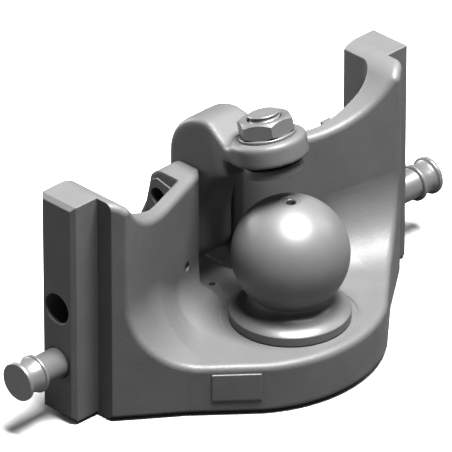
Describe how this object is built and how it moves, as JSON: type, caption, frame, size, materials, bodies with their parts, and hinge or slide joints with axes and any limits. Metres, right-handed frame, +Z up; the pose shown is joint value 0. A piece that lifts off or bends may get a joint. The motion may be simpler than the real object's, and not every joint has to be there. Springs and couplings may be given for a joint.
{
  "type": "tractor ball hitch",
  "caption": "Cast tractor ball hitch with a fixed ball, a swinging hold-down arm with adjusting spindle, and plug-in side locking pins.",
  "frame": {"origin": "centre of the ball", "axes": "+X across the block from guide to guide, +Y back towards the tractor, +Z up along the ball's shank"},
  "size_m": [0.3916, 0.1615, 0.1849],
  "materials": {
    "casting": "grey casting, lightly machined on its guides",
    "arm_casting": "grey forging",
    "forged_ball": "turned and polished",
    "plate_steel": "plain steel",
    "pin_steel": "ground steel",
    "spindle_steel": "turned steel",
    "fasteners": "zinc plated",
    "bush_brass": "plain",
    "nipple_brass": "plain"
  },
  "bodies": {
    "block": {"hitch_body": "casting", "ball_stud": "forged_ball", "ball_retainer_plate": "plate_steel", "retainer_screw_1": "fasteners", "retainer_screw_2": "fasteners", "retainer_screw_3": "fasteners", "retainer_screw_4": "fasteners", "pivot_pin": "pin_steel", "retaining_ring_left": "fasteners", "retaining_ring_right": "fasteners", "grease_nipple": "nipple_brass"},
    "arm": {"hold_down_arm": "arm_casting", "pivot_bush_left": "bush_brass", "pivot_bush_right": "bush_brass", "spindle_washer": "fasteners", "lock_nut": "fasteners"},
    "spindle": {"pressure_spindle": "spindle_steel"},
    "pin_left": {"locking_pin_left": "pin_steel"},
    "pin_right": {"locking_pin_right": "pin_steel"}
  },
  "joints": [
    {"name": "arm_swing", "type": "hinge", "parent": "block", "child": "arm", "pos_m": [0, 0.08435, -0.019], "axis": [-1, 0, 0], "range_deg": [0, 85]},
    {"name": "spindle_travel", "type": "slide", "parent": "arm", "child": "spindle", "axis": [0, -0.2588, -0.9659], "range_m": [-0.0025, 0.01]},
    {"name": "pin_left_pull", "type": "slide", "parent": "block", "child": "pin_left", "axis": [-1, 0, 0], "range_m": [0, 0.06]},
    {"name": "pin_right_pull", "type": "slide", "parent": "block", "child": "pin_right", "axis": [1, 0, 0], "range_m": [0, 0.06]}
  ]
}
